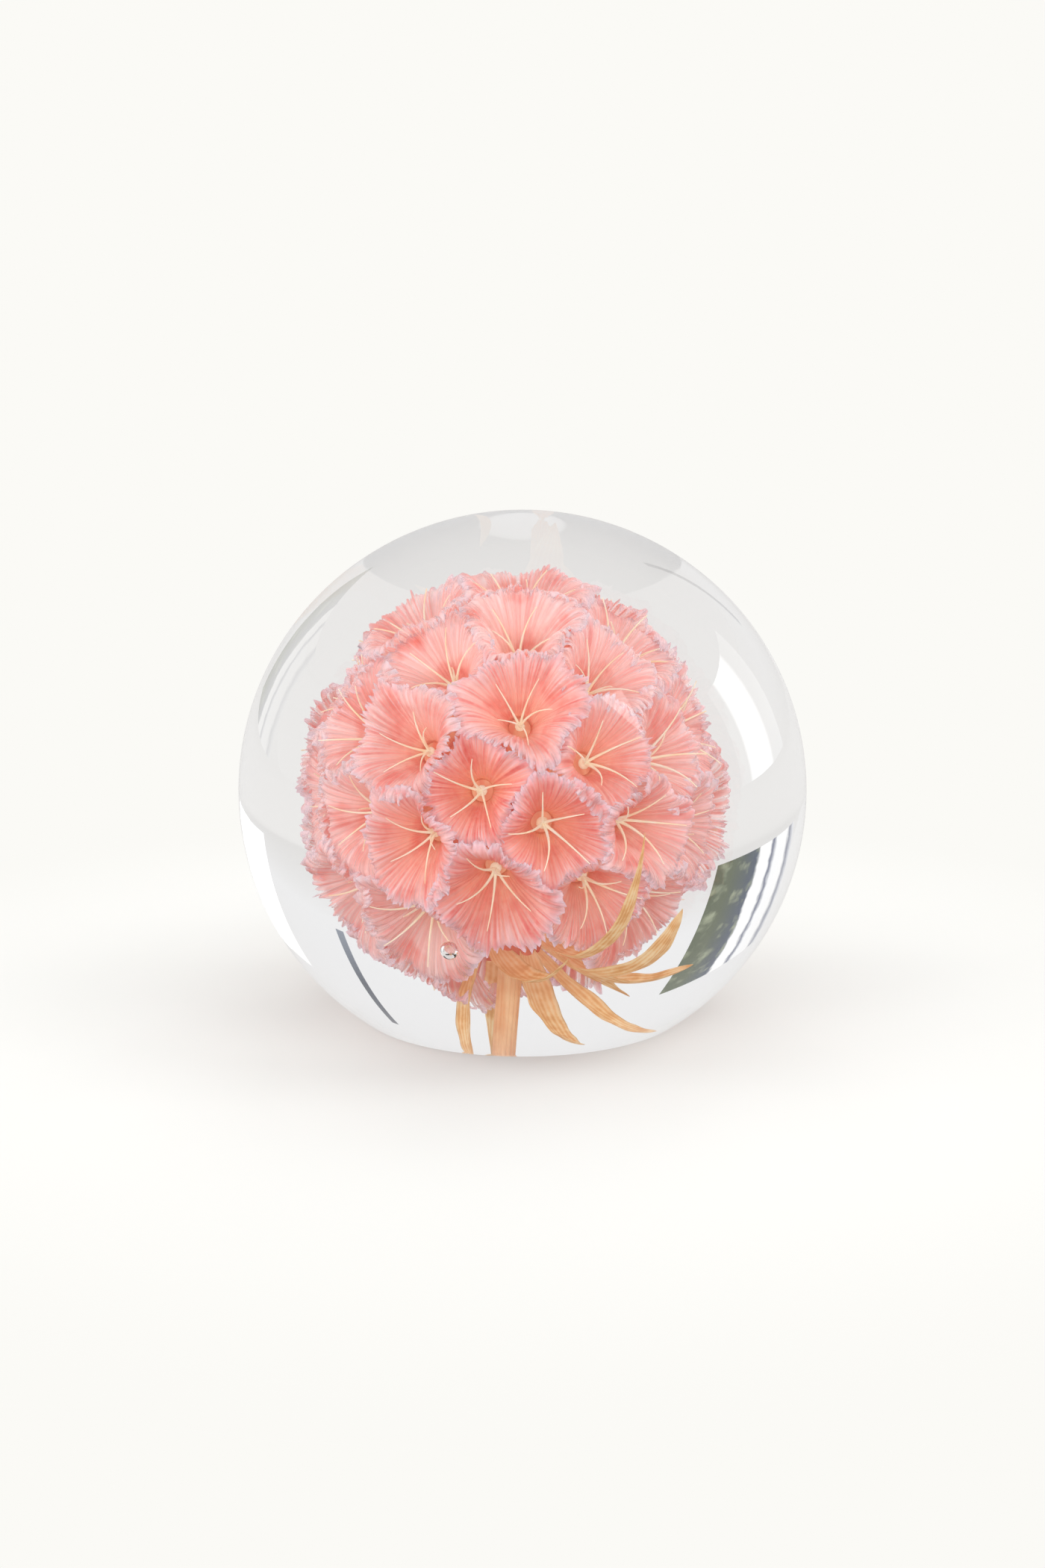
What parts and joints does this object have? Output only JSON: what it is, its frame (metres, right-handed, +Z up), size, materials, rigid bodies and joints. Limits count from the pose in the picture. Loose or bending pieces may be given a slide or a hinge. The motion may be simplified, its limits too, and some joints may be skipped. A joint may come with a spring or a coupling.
{
  "type": "paperweight",
  "caption": "Clear cast resin ball paperweight with a flat base, holding a dried and dyed scabious seed head on its stem.",
  "frame": {"origin": "centre of the flat base, on the surface it rests on", "axes": "+Z up through the crown, -Y towards the front, where the low cup that faces the viewer and the long curled bract are; +X to the right seen from the front"},
  "size_m": [0.08, 0.08, 0.0714],
  "materials": {
    "clear_resin": "polished, optically clear",
    "dried_stem": "dry, fibrous, grooved along its length",
    "dried_receptacle": "dry and matte, dyed deep coral",
    "dyed_seed": "dry, ribbed and hairy, dyed coral",
    "dyed_bristle": "dry straw-like bristles, peach to cream",
    "golden_bract": "dry leaf, golden tan, fine lengthwise veins",
    "dyed_papery_cup": "thin translucent papery membrane, coral at the throat to pale pink with a lilac-white frilled rim"
  },
  "bodies": {
    "root": {"resin_body": "clear_resin", "stem": "dried_stem", "receptacle": "dried_receptacle", "seeds": "dyed_seed", "bristle_stars": "dyed_bristle", "bract_01": "golden_bract", "bract_02": "golden_bract", "bract_03": "golden_bract", "bract_04": "golden_bract", "bract_05": "golden_bract", "bract_06": "golden_bract", "bract_07": "golden_bract", "bract_08": "golden_bract", "bract_09": "golden_bract", "papery_cup_01": "dyed_papery_cup", "papery_cup_02": "dyed_papery_cup", "papery_cup_03": "dyed_papery_cup", "papery_cup_04": "dyed_papery_cup", "papery_cup_05": "dyed_papery_cup", "papery_cup_06": "dyed_papery_cup", "papery_cup_07": "dyed_papery_cup", "papery_cup_08": "dyed_papery_cup", "papery_cup_09": "dyed_papery_cup", "papery_cup_10": "dyed_papery_cup", "papery_cup_11": "dyed_papery_cup", "papery_cup_12": "dyed_papery_cup", "papery_cup_13": "dyed_papery_cup", "papery_cup_14": "dyed_papery_cup", "papery_cup_15": "dyed_papery_cup", "papery_cup_16": "dyed_papery_cup", "papery_cup_17": "dyed_papery_cup", "papery_cup_18": "dyed_papery_cup", "papery_cup_19": "dyed_papery_cup", "papery_cup_20": "dyed_papery_cup", "papery_cup_21": "dyed_papery_cup", "papery_cup_22": "dyed_papery_cup", "papery_cup_23": "dyed_papery_cup", "papery_cup_24": "dyed_papery_cup", "papery_cup_25": "dyed_papery_cup", "papery_cup_26": "dyed_papery_cup", "papery_cup_27": "dyed_papery_cup", "papery_cup_28": "dyed_papery_cup", "papery_cup_29": "dyed_papery_cup", "papery_cup_30": "dyed_papery_cup", "papery_cup_31": "dyed_papery_cup", "papery_cup_32": "dyed_papery_cup", "papery_cup_33": "dyed_papery_cup", "papery_cup_34": "dyed_papery_cup", "papery_cup_35": "dyed_papery_cup", "papery_cup_36": "dyed_papery_cup", "papery_cup_37": "dyed_papery_cup", "papery_cup_38": "dyed_papery_cup", "papery_cup_39": "dyed_papery_cup", "papery_cup_40": "dyed_papery_cup", "papery_cup_41": "dyed_papery_cup"}
  },
  "joints": []
}
